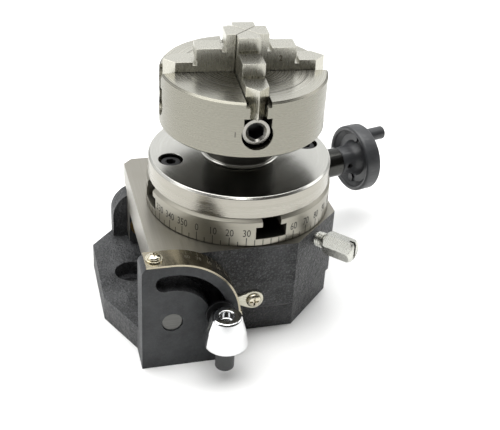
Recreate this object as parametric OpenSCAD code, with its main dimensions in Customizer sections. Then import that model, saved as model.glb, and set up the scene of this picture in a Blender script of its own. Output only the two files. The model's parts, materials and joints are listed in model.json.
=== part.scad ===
// Tilting rotary table with a worm drive, a back plate and a small four-jaw independent chuck.
// Millimetres, +Z up. The origin is on the resting plane, under the table's own axis.
// +X points to the handwheel side, -Y to the side with the tilt clamp.

/* [Base] */
// Thickness of the base plate
base_t = 11.6; // [10:0.2:11.6]
// Left end of the base plate
base_left = -61.9; // [-66:0.1:-60]
// Right end of the base plate
base_right = 40.6; // [40:0.1:44]
// Front and rear edge of the plate, from the middle
base_half = 35.6; // [35:0.1:38]
// Radius of the hold-down bolt holes
bolt_r = 4.5; // [4:0.1:5]
// Radius of the counterbores over the hold-down bolts
bolt_cbore_r = 7.3; // [6.8:0.1:8]

/* [Tilt] */
// Pivot, distance left of the table axis
pivot_x = -38.6; // [-39:0.1:-38]
// Pivot, height over the resting plane
pivot_z = 22.4; // [22:0.1:23]
// Radius of the two pivot pins
pivot_r = 4.3; // [3.5:0.1:4.5]
// Thickness of the cheek with the scale
cheek_t = 10.7; // [9:0.1:11]
// Radius of the cheek under the scale strip
cheek_r = 27.5; // [27:0.1:28]
// Radius of the clamp slot's middle line
slot_r = 19.6; // [19:0.1:20]
// Width of the clamp slot
slot_w = 7.5; // [6.8:0.1:8]
// Angle of the clamp stud when the table is level
stud_angle = 8; // [7:1:10]

/* [Body] */
// Left face of the body
body_left = -45; // [-46:0.1:-44]
// Right face of the body
body_right = 39.1; // [38.5:0.1:40]
// Front and rear face of the body, from the middle
body_half = 40.6; // [40.2:0.1:41]
// Height of the machined top of the body
body_top = 46.6; // [46.6:0.1:46.7]
// Width of the chamfer at each right-hand corner
corner_w = 23; // [20:0.5:24]

/* [Table] */
// Radius of the rotary table
table_r = 40; // [39:0.5:40]
// Height of the table's upper face
table_top = 59.6; // [59.5:0.1:60]
// Width of the neck of each T-slot
tslot_neck = 8; // [6:0.5:8.5]
// Width of the foot of each T-slot
tslot_wide = 13.2; // [11:0.1:14]
// Direction of the first T-slot
tslot_angle = -83.6; // [-90:0.1:-80]

/* [Worm drive] */
// Teeth on the worm wheel
wheel_teeth = 36; // [36:1:36]
// Pitch radius of the worm wheel
wheel_pr = 22; // [21.8:0.1:22]
// Pitch radius of the worm
worm_pr = 6; // [5.9:0.1:6]
// Height of the worm axis
worm_z = 33; // [32.8:0.1:33.2]
// Direction of the worm axis
worm_dir = 15; // [12:0.5:16]
// Radius of the handwheel
wheel_r = 16.8; // [15:0.1:18]

/* [Chuck] */
// Radius of the chuck body
chuck_r = 34.6; // [34:0.1:35]
// Height of the chuck's back face
chuck_z0 = 84.4; // [84.4:0.1:85]
// Height of the chuck's front face
chuck_z1 = 108.4; // [108:0.1:109]
// Direction of the first jaw
jaw_angle = -94.2; // [-100:0.1:-80]
// Width of a jaw over the chuck face
jaw_w = 9.2; // [8.6:0.1:9.4]
// Radius of the back plate
plate_r = 39.2; // [38:0.1:40]
// Height of the back plate's rim face
plate_top = 69.2; // [69:0.1:70]

/* [Hidden] */
$fn = 96;
eps = 0.01;
cut = 1;            // how far a cutter runs past a face
gap = 0.3;          // space between faces that move past each other
run = 0.05;         // radial clearance of a shaft in its hole

// heights
body_z0 = base_t + gap;
table_z0 = body_top + gap;
left_face_z = 30;   // lower edge of the ground band on the body's left face
slab_z = 37;        // underside of the body's top over the ear
skirt_h = 4;        // height of the bevel round the body's lower edge
skirt_in = 4;       // and how far it is drawn in
slot_floor = 50;    // floor of the T-slots
neck_z = 55.5;      // where neck and foot of a T-slot meet

// base plate's plan, corner by corner
corner_x = 22.7;    // how far each right-hand corner is cut, along X
corner_y = 22.5;    // and along Y
corner_skew = 1.6;  // how much less at the rear
nose_front_y = 17;  // half-widths of the blunt left end
nose_rear_y = 24;
flare_front_y = 39.4;
flare_rear_y = 35.6;
flare_rear_x = -51.4;
cheek_pad_x = -12;  // right end of the thick part behind the cheek
cheek_pad_run = 4;

// cheek, strip and ear
cheek_y1 = -body_half - 1.5;
cheek_y0 = cheek_y1 - cheek_t;
cheek_left = -50.9;
cheek_foot = -16;
cheek_arc_end = -15;
cheek_corner_r = 3;
strip_t = 0.8;
strip_left = -49.1;
ear_y0 = 29.5;
ear_y1 = 38;
ear_r = 12.8;
ear_gap = 0.8;
slot_a0 = stud_angle - 2;
slot_a1 = stud_angle + 91;
stud_r = 3;
stud_from_pivot = slot_r + 0.2;
stud_x = pivot_x + stud_from_pivot * cos(stud_angle);
stud_z = pivot_z + stud_from_pivot * sin(stud_angle);
bolt_x = [-47.5, 26.2];
bolt_floor = 5;
lug_r = 10.4;
lug_t = 8;
lug_y = [-body_half, ear_y0 - ear_gap - lug_t];
recess_x = -36;     // left end of the body below the ground band
ear_notch_x = -24;  // right end of the body's notch for the ear
bush_r = 6;
pin_near_y = cheek_y0 + 0.6;
pin_far_y = ear_y1 - 0.4;

// scale screws and pointer
scale_hole_r = 1.25;
scale_hole_deep = 6;
washer_t = 0.7;
washer_r = 3.5;
pointer_x = -1.9;
pointer_z = 20.6;
pointer_head = 4.3;
pointer_t = 1.2;
pointer_tip_r = 29.4;
pointer_tip_half = 1.7;

// tilt clamp: hub on a stud, standing upright in front of the cheek
clamp_y = -63.6;
clamp_top = 31.6;
hub_belly_r = 9;
hub_belly_z = 18.4;
hub_shoulder_r = 8;
hub_shoulder_z = 25.2;
hub_top_r = 6.2;
hub_foot_z = 14.2;
hub_foot_r = 4.9;
hub_boss_r = 4.4;
washer_face_y = cheek_y0 - 1.4;
clamp_washer_r = 6;
grip_end_z = 5.6;
grip_r = 3.9;
grip_stem_r = 2.45;
grip_stem_top = 18.6;

// worm drive, along the worm axis from the point nearest the table's axis
pitch = 2 * PI * wheel_pr / wheel_teeth;
worm_a = wheel_pr + worm_pr;
lead = atan(pitch / (2 * PI * worm_pr));
addendum = 0.95;
dedendum = 1.3;
flank = 20;
play = 0.12;        // how much wider the wheel's tooth spaces are, on each side
thin = 0.2;         // how much the worm's thread is thinned
worm_len = 18;
worm_bore_r = 3.3;
worm_steps = 60;
worm_sides = 36;
sleeve_r = 8;
sleeve_in = 12;
sleeve_rim = 4;
shaft_r = 4;
journal_r = 3.2;
journal_s0 = -20;
journal_s1 = 10;
end_bush_r = 5;
end_bush_s = [-20.5, -12.5];
boss_r = 11;
boss_start = 20;
boss_end = 58;
sleeve_screw_s = 54;
sleeve_screw_r = 1.5;
index_s = boss_end + sleeve_rim;
index_t = 2.2;
index_r = 7.4;
dial_r = 7.2;
dial_end = 73.6;
hw_hub_s = 73.8;    // handwheel's hub starts here
hw_s0 = 80.8;       // handwheel's inner face
hw_t = 8.2;
rim_round = 1.2;
grip_screw_s = 77;
grip_screw_r = 1.45;
pin_at = 11.2;      // handwheel pins, from the wheel's axis
pin_r = 3.3;
pin_len = 11;
pin_stem_r = 2;

// worm wheel, spindle and the body's bores
wheel_half = 4.5;   // half the wheel's face width
wheel_z0 = worm_z - wheel_half;
wheel_z1 = worm_z + wheel_half;
wheel_screw_at = 14;
wheel_cbore = 2.6;
hub_r = 17;
spindle_r = 11;
spindle_z = 20;     // where the spindle steps down to its thread
spindle_end = 14.6;
thread_r = 8;
socket_r0 = 4.9;    // tapered socket, small and large end
socket_r1 = 6.03;
spindle_bore = 13.5;
cavity_r = 24.3;
cavity_z = wheel_z0 - 1.5;
web_z = 20.6;
recess_r = 17.2;
thrust_r = 16.2;
thrust_t = 1.2;
retainer_r = 16;
retainer_t = 2;
nut_af = 22;
nut_t = 3.2;
cover_r = 21;
cover_t = 2;
cover_screw_at = 19.2;
cover_screw_sink = 1.1;
cover_screw_len = 6;
cover_screw_r = 0.9;

// lock screw, square to the front right chamfer
corner_d = 21.2;
lock_dir = atan2(-corner_w, corner_d);
lock_face = (body_right * corner_d + (body_half - corner_d) * corner_w)
            / sqrt(corner_w * corner_w + corner_d * corner_d);
lock_z = 41;
lock_af = 9;
lock_r = 2.9;
lock_hole_r = 3;
pad_len = 4.6;
lock_head_s = lock_face + 5.4;
lock_head_len = 13.2;
lock_slot = 1.6;
lock_slot_deep = 2.8;

// back plate and its screws
hub_neck_r = 15.4;
hub_fillet = 1.6;
register_r = 6.95;
register_h = 5.5;
plate_bore = 4;
plate_screw_r = 30.6;
plate_sink = 5.6;
screw_skew = -1.5;  // the screws sit this many degrees off the T-slot's middle line
t_nut_len = 12;

// chuck
screw_z = 94.6;
screw_hole_r = 6.3;
jaw_screw_r = 5.5;
screw_in = 9.5;
screw_out = 31.5;
screw_af = 6;
fork_s = 18;
fork_t = 2.5;
fork_neck_r = 3.6;
guide_w = 10;       // slot width at the chuck's face, at the rails and below them
rail_w = 6.8;
foot_w = 11;
rail_z0 = 101.7;
rail_z1 = 106.2;
face_chamfer = 0.8;
jaw_tops = [124.2, 118.3, 112.8];
jaw_ends = [8.8, 20.5, 33.4];
jaw_apex = 0.25;
jaw_foot_z = screw_z + 3;
relief = [1.8, 1.9];     // width and height of the groove at the foot of each upper step
relief_in = 0.5;         // how far it goes into the step's wall

// ---------- helpers ----------

// a cylinder lying along +Y from y0 to y1
module along_y(r, y0, y1) translate([0, y0, 0]) rotate([-90, 0, 0]) cylinder(r = r, h = y1 - y0);

// children drawn in the XZ plane, given depth along Y
module plate_xz(y0, y1) translate([0, y1, 0]) rotate([90, 0, 0]) linear_extrude(y1 - y0) children();

// children built along +Z are laid on the worm axis, turned so their +Y points off the wheel
module on_worm() rotate([0, 0, worm_dir]) translate([0, worm_a, worm_z]) rotate([0, 90, 0]) children();

// children built along +Z are laid on the lock screw's line, pointing outward
module on_lock() rotate([0, 0, lock_dir]) translate([0, 0, lock_z]) rotate([0, 90, 0]) children();

// a ring along Z
module ring(r_in, r_out, z0, z1) translate([0, 0, z0]) difference() {
    cylinder(r = r_out, h = z1 - z0);
    translate([0, 0, -cut]) cylinder(r = r_in, h = z1 - z0 + 2 * cut);
}

// a disc along Z with a chamfer on its upper edge
module chamfered(r, z0, z1, c) rotate_extrude()
    polygon([[0, z0], [r, z0], [r, z1 - c], [r - c, z1], [0, z1]]);

// cross-recessed pan-head screw, head on top of z = 0
module pan_screw(head_r, head_h, shank_r, shank_l) difference() {
    union() {
        translate([0, 0, -shank_l]) cylinder(r = shank_r, h = shank_l + eps);
        rotate_extrude() polygon(concat([[0, 0], [head_r, 0]],
            [for (i = [0 : 6]) [head_r * cos(i * 15), head_h * (0.25 + 0.75 * sin(i * 15))]]));
    }
    for (a = [0, 90]) rotate([0, 0, a])
        translate([-0.6 * head_r, -0.13 * head_r, 0.35 * head_h]) cube([1.2 * head_r, 0.26 * head_r, head_h]);
}

// hexagon socket cap screw, seat of the head at z = 0
module cap_screw(head_r, head_h, shank_r, shank_l, socket) difference() {
    union() {
        translate([0, 0, -shank_l]) cylinder(r = shank_r, h = shank_l + eps);
        chamfered(head_r, 0, head_h, 0.3);
    }
    translate([0, 0, head_h * 0.4]) cylinder(d = socket / cos(30), h = head_h, $fn = 6);
}

// ---------- base ----------

module cheek_outline() {
    end = [pivot_x + cheek_r * cos(cheek_arc_end), pivot_z + cheek_r * sin(cheek_arc_end)];
    corner = [cheek_left + cheek_corner_r, pivot_z + cheek_r - cheek_corner_r];
    polygon(concat([[cheek_left, 0]],
        [for (a = [180 : -15 : 90]) corner + cheek_corner_r * [cos(a), sin(a)]],
        [for (a = [90 : -3 : cheek_arc_end]) [pivot_x + cheek_r * cos(a), pivot_z + cheek_r * sin(a)]],
        [end, [cheek_foot, 0]]));
}

module arc_slot() for (a = [slot_a0, slot_a1]) {
    translate([pivot_x, 0, pivot_z]) rotate([0, -a, 0]) translate([slot_r, 0, 0])
        along_y(slot_w / 2, cheek_y0 - cut, cheek_y1 + cut);
}

module slot_sweep() translate([pivot_x, cheek_y1 + cut, pivot_z]) rotate([90, 0, 0]) rotate([0, 0, slot_a0])
    rotate_extrude(angle = slot_a1 - slot_a0)
        translate([slot_r - slot_w / 2, 0]) square([slot_w, cheek_t + 2 * cut]);

module base_plan() polygon([[base_left, -nose_front_y], [cheek_left, -flare_front_y],
    [cheek_left, cheek_y1 - eps], [cheek_pad_x, cheek_y1 - eps], [cheek_pad_x + cheek_pad_run, -base_half],
    [base_right - corner_x, -base_half], [base_right, -base_half + corner_y],
    [base_right, ear_y1 - corner_y + corner_skew], [base_right - corner_x, ear_y1], [flare_rear_x, ear_y1],
    [flare_rear_x, flare_rear_y], [base_left, nose_rear_y]]);

module base_casting() color([0.17, 0.17, 0.18]) difference() {
    union() {
        linear_extrude(base_t) base_plan();
        plate_xz(cheek_y0, cheek_y1) cheek_outline();
        translate([pivot_x - ear_r, ear_y0, 0]) cube([2 * ear_r, ear_y1 - ear_y0, pivot_z]);
        translate([pivot_x, 0, pivot_z]) along_y(ear_r, ear_y0, ear_y1);
    }
    translate([pivot_x, 0, pivot_z]) {
        along_y(pivot_r, cheek_y0 - cut, cheek_y1 + cut);
        along_y(pivot_r, ear_y0 - cut, ear_y1 + cut);
    }
    arc_slot();
    slot_sweep();
    for (x = bolt_x) translate([x, 0, 0]) {
        translate([0, 0, -cut]) cylinder(r = bolt_r, h = base_t + 2 * cut);
        translate([0, 0, bolt_floor]) cylinder(r = bolt_cbore_r, h = base_t);
    }
    for (p = scale_screw_places()) place_on_strip(p)
        translate([0, 0, -scale_hole_deep]) cylinder(r = scale_hole_r, h = scale_hole_deep + cut);
}

module near_pivot_pin() color([0.2, 0.2, 0.21]) translate([pivot_x, 0, pivot_z])
    along_y(pivot_r, pin_near_y, -body_half + lug_t);

module far_pivot_pin() color([0.2, 0.2, 0.21]) translate([pivot_x, 0, pivot_z])
    along_y(pivot_r, lug_y[1], pin_far_y);

// ---------- tilt scale ----------

// each place on the strip: [distance left of the pivot when flat, or the angle when on the arc]
function scale_screw_places() = [["flat", -6.6], ["arc", -8]];

module place_on_strip(p) {
    mid = cheek_y0 + cheek_t / 2;
    if (p[0] == "flat") translate([pivot_x + p[1], mid, pivot_z + cheek_r]) children();
    else translate([pivot_x, mid, pivot_z]) rotate([0, 90 - p[1], 0]) translate([0, 0, cheek_r]) children();
}

module tilt_scale() color([0.8, 0.79, 0.76]) difference() {
    union() {
        translate([strip_left, cheek_y0, pivot_z + cheek_r]) cube([pivot_x - strip_left, cheek_t, strip_t]);
        translate([pivot_x, cheek_y1, pivot_z]) rotate([90, 0, 0]) rotate([0, 0, cheek_arc_end + 1])
            rotate_extrude(angle = 89 - cheek_arc_end)
                translate([cheek_r, 0]) square([strip_t, cheek_t]);
    }
    for (p = scale_screw_places()) place_on_strip(p)
        translate([0, 0, -cut]) cylinder(r = scale_hole_r + 0.25, h = strip_t + 2 * cut);
}

module scale_washers() color([0.75, 0.74, 0.7]) for (p = scale_screw_places())
    place_on_strip(p) ring(scale_hole_r + 0.15, washer_r, strip_t, strip_t + washer_t);

module scale_screws() color([0.75, 0.74, 0.7]) for (p = scale_screw_places())
    place_on_strip(p) translate([0, 0, strip_t + washer_t]) pan_screw(2.7, 1.7, scale_hole_r - run, 5.5);

// ---------- body ----------

module body_plan() polygon([[body_left, -body_half], [body_right - corner_w, -body_half],
    [body_right, -body_half + corner_d], [body_right, body_half], [body_left + 4, body_half],
    [body_left, body_half - 4]]);

// side view of an end lug, rounded about the pivot so that it clears the base as it tilts
module lug_outline() intersection() {
    translate([body_left, body_z0]) square([30, body_top - body_z0]);
    union() {
        translate([pivot_x, pivot_z]) circle(r = lug_r);
        translate([pivot_x, body_z0]) square([60, body_top]);
        translate([body_left, pivot_z]) square([60, body_top]);
    }
}

// body's plan with the notch that the ear stands in
module notched_plan() difference() {
    body_plan();
    translate([body_left - cut, ear_y0 - ear_gap]) square([ear_notch_x - body_left + cut, body_half]);
}

// the body's outline in space, drawn in at the lower edge
module body_envelope() hull() {
    translate([0, 0, body_z0]) linear_extrude(eps) offset(delta = -skirt_in) body_plan();
    translate([0, 0, body_z0 + skirt_h]) linear_extrude(body_top - body_z0 - skirt_h) body_plan();
}

// the solid block: overhanging top, ground band on the left, and the part below, set back on the left
module body_block() intersection() {
    body_envelope();
    union() {
        translate([0, 0, slab_z]) linear_extrude(body_top - slab_z) body_plan();
        translate([0, 0, left_face_z]) linear_extrude(slab_z - left_face_z + eps) notched_plan();
        translate([0, 0, body_z0]) linear_extrude(left_face_z - body_z0 + eps) difference() {
            notched_plan();
            translate([body_left - cut, -body_half - cut])
                square([recess_x - body_left + cut, 2 * body_half + 2 * cut]);
        }
    }
}

// round cavity for the worm wheel, bore for the spindle and the stepped recess below
module spindle_bores() {
    translate([0, 0, cavity_z]) cylinder(r = cavity_r, h = body_top);
    translate([0, 0, body_z0]) cylinder(r = spindle_bore, h = body_top);
    translate([0, 0, body_z0 - cut]) cylinder(r = recess_r, h = web_z - body_z0 + cut);
    translate([0, 0, web_z - cut]) cylinder(r = thrust_r, h = thrust_t + cut);
    translate([0, 0, body_z0 - cut]) cylinder(r = cover_r + run, h = cover_t + cut);
    for (a = cover_screw_angles()) rotate([0, 0, a])
        translate([cover_screw_at, 0, body_z0]) cylinder(r = cover_screw_r + run, h = cover_screw_len + 2);
}

// worm bore, the small bore for the far end of its shaft, and the sleeve screw's hole
module worm_bores() on_worm() {
    translate([0, 0, end_bush_s[1]]) cylinder(r = sleeve_r, h = boss_end - end_bush_s[1] + cut);
    translate([0, 0, end_bush_s[0] - 0.5]) cylinder(r = end_bush_r, h = -end_bush_s[0] + 0.5);
    translate([0, 0, sleeve_screw_s]) rotate([0, -90, 0]) cylinder(r = sleeve_screw_r + 0.1, h = 15);
}

module body_casting() color([0.18, 0.18, 0.19]) difference() {
    union() {
        body_block();
        for (y = lug_y) plate_xz(y, y + lug_t) lug_outline();
        on_worm() translate([0, 0, boss_start]) cylinder(r = boss_r, h = boss_end - boss_start);
    }
    spindle_bores();
    worm_bores();
    translate([pivot_x, 0, pivot_z]) {
        along_y(bush_r, lug_y[0] - cut, lug_y[0] + lug_t + cut);
        along_y(bush_r, lug_y[1] - 2 * cut, ear_y0);
    }
    translate([stud_x, 0, stud_z]) along_y(stud_r - 0.1, -body_half - cut, -body_half + 10);
    translate([pointer_x, 0, pointer_z]) along_y(1.4, -body_half - cut, -body_half + 6);
    on_lock() translate([0, 0, cavity_r - 4]) cylinder(r = lock_hole_r, h = 24);
}

module pivot_bushes() color([0.66, 0.5, 0.27]) translate([pivot_x, 0, pivot_z])
    for (y = lug_y) difference() {
        along_y(bush_r, y, y + lug_t);
        along_y(pivot_r + run, y - cut, y + lug_t + cut);
    }

// ---------- pointer ----------

module pointer_outline() {
    reach = norm([pointer_x - pivot_x, pointer_z - pivot_z]);
    half = pointer_tip_half;
    aim = atan2(pivot_z - pointer_z, pivot_x - pointer_x);
    span = reach - pointer_tip_r;
    tangent = acos((pointer_head - half) / span);
    polygon(concat([for (a = [tangent : 10 : 360 - tangent])
        [pointer_x + pointer_head * cos(aim + a), pointer_z + pointer_head * sin(aim + a)]],
        [for (s = [-1, 1]) [pointer_x + span * cos(aim) - s * half * sin(aim),
                            pointer_z + span * sin(aim) + s * half * cos(aim)]]));
}

module tilt_pointer() color([0.82, 0.81, 0.78]) difference() {
    plate_xz(-body_half - pointer_t, -body_half) pointer_outline();
    translate([pointer_x, 0, pointer_z]) along_y(1.7, -body_half - pointer_t - cut, -body_half + cut);
}

module pointer_screw() color([0.72, 0.7, 0.62]) translate([pointer_x, -body_half - pointer_t, pointer_z])
    rotate([90, 0, 0]) pan_screw(3.2, 1.8, 1.35, 5);

// ---------- tilt clamp ----------

module clamp_stud() color([0.2, 0.2, 0.21]) translate([stud_x, 0, stud_z])
    along_y(stud_r - 0.15, clamp_y - 2, -body_half + 9);

module clamp_washer() color([0.25, 0.25, 0.26]) translate([stud_x, 0, stud_z]) difference() {
    along_y(clamp_washer_r, washer_face_y, cheek_y0 - gap);
    along_y(stud_r + run, washer_face_y - cut, cheek_y0);
}

module on_hub() translate([stud_x, clamp_y, 0]) children();

// turned hub: flat top, two cones widening to the belly, an undercut cone below, tapped across for the stud
module clamp_hub() color([0.85, 0.85, 0.86]) difference() {
    union() {
        on_hub() rotate_extrude() polygon([[0, hub_foot_z], [hub_foot_r, hub_foot_z],
            [hub_belly_r, hub_belly_z], [hub_belly_r, hub_belly_z + 0.6],
            [hub_shoulder_r, hub_shoulder_z], [hub_top_r, clamp_top - 0.5], [hub_top_r - 0.5, clamp_top],
            [0, clamp_top]]);
        translate([stud_x, 0, stud_z]) along_y(hub_boss_r, clamp_y, washer_face_y - gap);
    }
    on_hub() translate([0, 0, clamp_top - 3.5]) cylinder(r = 3, h = 4);
    on_hub() translate([0, 0, hub_foot_z - cut])
        cylinder(r = grip_stem_r + run, h = grip_stem_top - hub_foot_z + cut);
    translate([stud_x, 0, stud_z]) along_y(stud_r - 0.1, clamp_y - 3, -body_half);
}

module clamp_grip() color([0.13, 0.13, 0.14]) on_hub() rotate_extrude()
    polygon([[0, grip_end_z], [grip_r - 0.8, grip_end_z], [grip_r, grip_end_z + 0.7], [grip_r, hub_foot_z],
        [grip_stem_r, hub_foot_z], [grip_stem_r, grip_stem_top], [0, grip_stem_top]]);

// ---------- table and spindle ----------

module t_slot() {
    start = wheel_screw_at;
    translate([start, -tslot_neck / 2, slot_floor]) cube([table_r, tslot_neck, table_top]);
    translate([start, -tslot_wide / 2, slot_floor]) cube([table_r, tslot_wide, neck_z - slot_floor]);
}

// children at each of the three screws that hold the wheel to the table's hub
module at_wheel_screws() for (a = [0 : 120 : 240]) rotate([0, 0, a])
    translate([wheel_screw_at, 0, 0]) children();

module rotary_table() color([0.72, 0.71, 0.68]) difference() {
    union() {
        chamfered(table_r, table_z0, table_top, 1.6);
        translate([0, 0, wheel_z1]) cylinder(r = hub_r, h = table_z0 - wheel_z1 + eps);
        translate([0, 0, spindle_z]) cylinder(r = spindle_r, h = wheel_z1 - spindle_z + eps);
        translate([0, 0, spindle_end]) cylinder(r = thread_r, h = spindle_z - spindle_end + eps);
    }
    for (k = [0 : 3]) rotate([0, 0, tslot_angle + 90 * k]) t_slot();
    translate([0, 0, spindle_end - cut])
        cylinder(r1 = socket_r0, r2 = socket_r1, h = table_top - spindle_end + 2 * cut);
    at_wheel_screws() translate([0, 0, wheel_z1 - eps]) cylinder(r = 1.2, h = 6);
}

module worm_wheel() color([0.7, 0.54, 0.3]) difference() {
    translate([0, 0, wheel_z0]) cylinder(r = wheel_pr + addendum, h = wheel_z1 - wheel_z0, $fn = 144);
    translate([0, 0, wheel_z0 - cut]) cylinder(r = spindle_r + run, h = 20);
    at_wheel_screws() translate([0, 0, wheel_z0 - cut]) {
        cylinder(r = 1.4, h = 20);
        cylinder(r = 2.5, h = wheel_cbore + cut);
    }
    for (k = [0 : wheel_teeth - 1]) rotate([0, 0, worm_dir + 90 + k * 360 / wheel_teeth])
        translate([wheel_pr, 0, worm_z]) rotate([-lead, 0, 0]) tooth_gap();
}

// space between two wheel teeth, radial along +X
module tooth_gap() {
    half = pitch / 4 + play;
    out = 3;
    translate([0, 0, -8]) linear_extrude(16) polygon([[-dedendum, -(half - dedendum * tan(flank))],
        [out, -(half + out * tan(flank))], [out, half + out * tan(flank)],
        [-dedendum, half - dedendum * tan(flank)]]);
}

module wheel_screws() color([0.2, 0.2, 0.21]) at_wheel_screws()
    translate([0, 0, wheel_z0 + wheel_cbore]) rotate([180, 0, 0]) cap_screw(2.3, 2.4, 1.15, 10, 2);

module spindle_bush() color([0.66, 0.5, 0.27])
    ring(spindle_r + run, spindle_bore, web_z + thrust_t + 0.1, cavity_z);

module thrust_ring() color([0.66, 0.5, 0.27]) ring(spindle_r + 0.4, thrust_r, web_z - gap, web_z + thrust_t);

module retaining_washer() color([0.3, 0.3, 0.31])
    ring(thread_r, retainer_r, spindle_z - retainer_t, spindle_z);

module spindle_nut() color([0.3, 0.3, 0.31]) translate([0, 0, spindle_end + 0.2]) difference() {
    cylinder(d = nut_af / cos(30), h = nut_t, $fn = 6);
    translate([0, 0, -cut]) cylinder(r = thread_r, h = nut_t + 2 * cut);
}

function cover_screw_angles() = [20, 110, 200, 290];

module bottom_cover() color([0.3, 0.3, 0.31]) difference() {
    translate([0, 0, body_z0]) cylinder(r = cover_r, h = cover_t);
    for (a = cover_screw_angles()) rotate([0, 0, a]) translate([cover_screw_at, 0, body_z0 - cut]) {
        cylinder(r = cover_screw_r + 0.25, h = 2 * cover_t);
        cylinder(r = 1.75, h = cover_screw_sink + cut);
    }
}

module cover_screws() color([0.3, 0.3, 0.31]) for (a = cover_screw_angles()) rotate([0, 0, a])
    translate([cover_screw_at, 0, body_z0 + cover_screw_sink]) rotate([180, 0, 0])
        cap_screw(1.7, 1, cover_screw_r, cover_screw_len, 1.2);

// ---------- worm and handwheel, built along the worm axis ----------

// radius of the worm's surface at height s and angle a: a right-hand thread
function thread_phase(s, a) = let (u = s / pitch - (a + 90) / 360) u - floor(u + 0.5);
function thread_radius(s, a) = let (
    half = pitch / 4 - thin,
    off = abs(thread_phase(s, a)) * pitch,
    h = (half - off) / tan(flank))
    worm_pr + max(-dedendum, min(addendum, h));

module worm() color([0.55, 0.55, 0.56]) on_worm() {
    rings = [for (i = [0 : worm_steps]) -worm_len / 2 + worm_len * i / worm_steps];
    outer = [for (s = rings) for (j = [0 : worm_sides - 1])
        let (a = j * 360 / worm_sides, r = thread_radius(s, a)) [r * cos(a), r * sin(a), s]];
    inner = [for (s = [rings[0], rings[worm_steps]]) for (j = [0 : worm_sides - 1])
        let (a = j * 360 / worm_sides) [worm_bore_r * cos(a), worm_bore_r * sin(a), s]];
    n = worm_sides;
    base_in = len(outer);
    last = worm_steps * n;
    faces = concat(
        [for (i = [0 : worm_steps - 1]) for (j = [0 : n - 1]) let (k = (j + 1) % n)
            [i * n + j, (i + 1) * n + j, (i + 1) * n + k]],
        [for (i = [0 : worm_steps - 1]) for (j = [0 : n - 1]) let (k = (j + 1) % n)
            [i * n + j, (i + 1) * n + k, i * n + k]],
        [for (j = [0 : n - 1]) let (k = (j + 1) % n)
            [base_in + j, base_in + k, base_in + n + k, base_in + n + j]],
        [for (j = [0 : n - 1]) let (k = (j + 1) % n) [j, k, base_in + k, base_in + j]],
        [for (j = [0 : n - 1]) let (k = (j + 1) % n) [last + k, last + j, base_in + n + j, base_in + n + k]]);
    polyhedron(points = concat(outer, inner), faces = faces);
}

module worm_shaft() color([0.35, 0.35, 0.36]) on_worm() {
    translate([0, 0, journal_s0]) cylinder(r = journal_r, h = journal_s1 - journal_s0);
    translate([0, 0, journal_s1 - eps]) cylinder(r = shaft_r, h = hw_s0 + hw_t - journal_s1);
}

module end_bush() color([0.66, 0.5, 0.27]) on_worm()
    ring(journal_r + run, end_bush_r, end_bush_s[0], end_bush_s[1]);

module worm_sleeve() color([0.3, 0.3, 0.31]) on_worm() difference() {
    union() {
        translate([0, 0, sleeve_in]) cylinder(r = sleeve_r, h = boss_end - sleeve_in + eps);
        translate([0, 0, boss_end]) cylinder(r = boss_r - 0.5, h = sleeve_rim);
    }
    translate([0, 0, sleeve_in - cut]) cylinder(r = shaft_r + run, h = 60);
    translate([0, 0, sleeve_screw_s]) rotate([0, -90, 0]) translate([0, 0, sleeve_r - sleeve_screw_r])
        cylinder(r = sleeve_screw_r + 0.1, h = 4);
}

module sleeve_screw() color([0.2, 0.2, 0.21]) on_worm() translate([0, 0, sleeve_screw_s]) rotate([0, -90, 0])
    difference() {
        translate([0, 0, sleeve_r - 1.4]) cylinder(r = sleeve_screw_r, h = 4);
        translate([0, 0, sleeve_r + 1.2]) cylinder(d = 1.5 / cos(30), h = 3, $fn = 6);
    }

module index_ring() color([0.5, 0.5, 0.5]) on_worm() difference() {
    chamfered(index_r, index_s, index_s + index_t, 0.4);
    translate([0, 0, boss_end]) cylinder(r = shaft_r + run, h = 12);
}

module dial_collar() color([0.3, 0.3, 0.31]) on_worm() difference() {
    chamfered(dial_r, index_s + index_t + gap, dial_end, 0.5);
    translate([0, 0, boss_end]) cylinder(r = shaft_r, h = 30);
}

// rounded corner of the handwheel's rim, from angle a0 to a1, centred at height s
function rim_corner(a0, a1, s) = [for (a = [a0 : 15 : a1])
    [wheel_r - rim_round + rim_round * cos(a), s + rim_round * sin(a)]];

module handwheel() color([0.15, 0.15, 0.16]) on_worm() difference() {
    outer = hw_s0 + hw_t;
    rotate_extrude() polygon(concat(
        [[0, hw_hub_s], [6.4, hw_hub_s], [6.8, hw_hub_s + 0.4], [7.2, hw_s0 - 0.4], [9.2, hw_s0 + 3.2],
         [12.4, hw_s0 + 3.2]],
        rim_corner(180, 345, hw_s0 + rim_round),
        rim_corner(0, 90, outer - rim_round),
        [[6, outer], [5.4, outer - 0.8], [0, outer - 0.8]]));
    translate([0, 0, hw_hub_s - cut]) cylinder(r = shaft_r, h = 30);
    for (s = [-1, 1]) translate([s * pin_at, 0, hw_s0 + 2.2]) cylinder(r = pin_stem_r, h = 20);
    translate([0, 0, grip_screw_s]) rotate([90, 0, 0]) cylinder(r = grip_screw_r + run, h = 10);
}

module handwheel_pins() color([0.2, 0.2, 0.21]) on_worm() for (s = [-1, 1]) translate([s * pin_at, 0, 0]) {
    chamfered(pin_r, hw_s0 + hw_t, hw_s0 + hw_t + pin_len, 0.6);
    translate([0, 0, hw_s0 + 2.4]) cylinder(r = pin_stem_r, h = hw_t);
}

module grip_screw() color([0.3, 0.3, 0.31]) on_worm() translate([0, 0, grip_screw_s]) rotate([90, 0, 0])
    difference() {
        translate([0, 0, shaft_r]) cylinder(r = grip_screw_r, h = 2.6);
        translate([0, 0, shaft_r + 1.4]) cylinder(d = 1.4 / cos(30), h = 3, $fn = 6);
    }

// ---------- table lock ----------

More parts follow.
